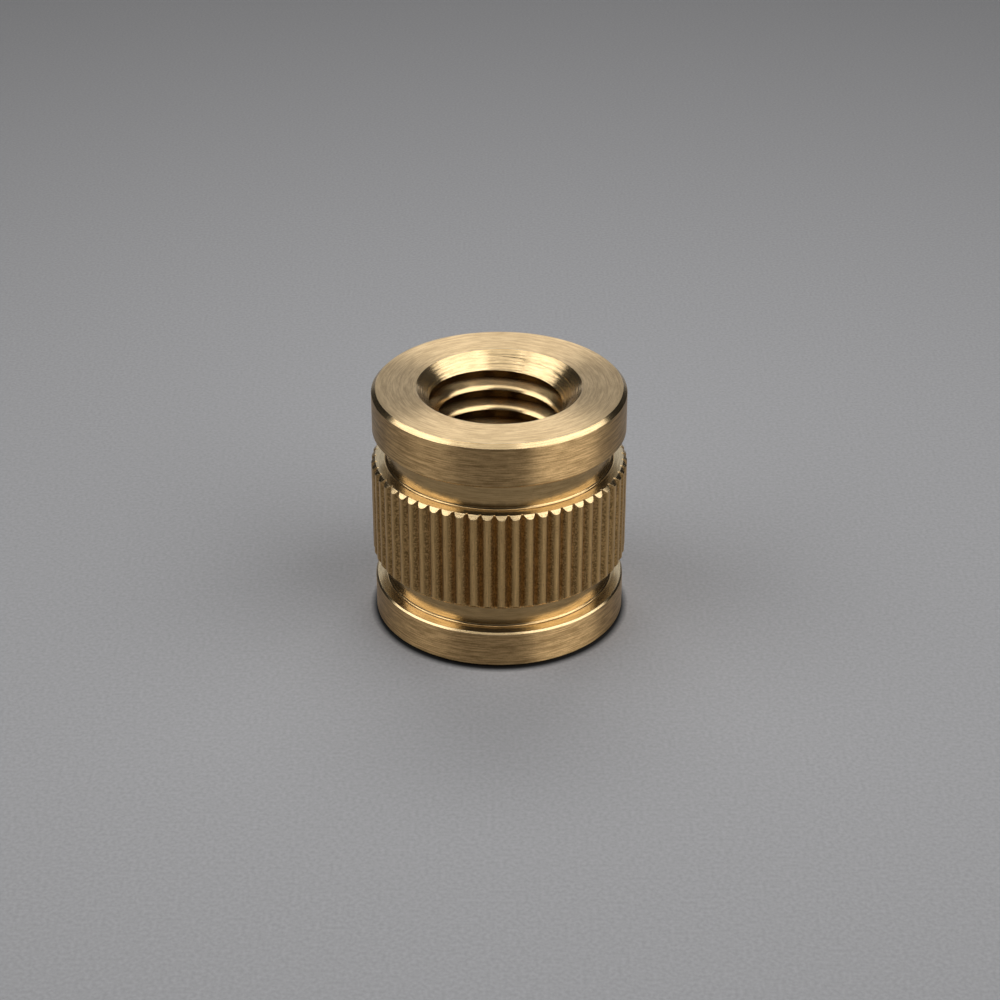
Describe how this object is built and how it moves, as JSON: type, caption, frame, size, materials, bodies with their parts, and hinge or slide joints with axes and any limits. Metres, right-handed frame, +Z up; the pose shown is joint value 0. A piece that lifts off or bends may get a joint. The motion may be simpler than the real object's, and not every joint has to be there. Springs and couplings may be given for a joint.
{
  "type": "threaded insert",
  "caption": "Knurled brass insert: a plain collar at each end, a groove inside each collar, a straight-knurled band between them and a tapped through hole with countersunk ends.",
  "frame": {"origin": "middle of the lower end face, on the axis of the hole", "axes": "+Z up along the axis of the hole, -Y towards the viewer, +X to the right"},
  "size_m": [0.0142, 0.0142, 0.0138],
  "materials": {
    "turned_brass": "bare brass as turned, with fine tool marks round the axis and a duller, grainier rolled knurl"
  },
  "bodies": {
    "root": {"insert_body": "turned_brass"}
  },
  "joints": []
}
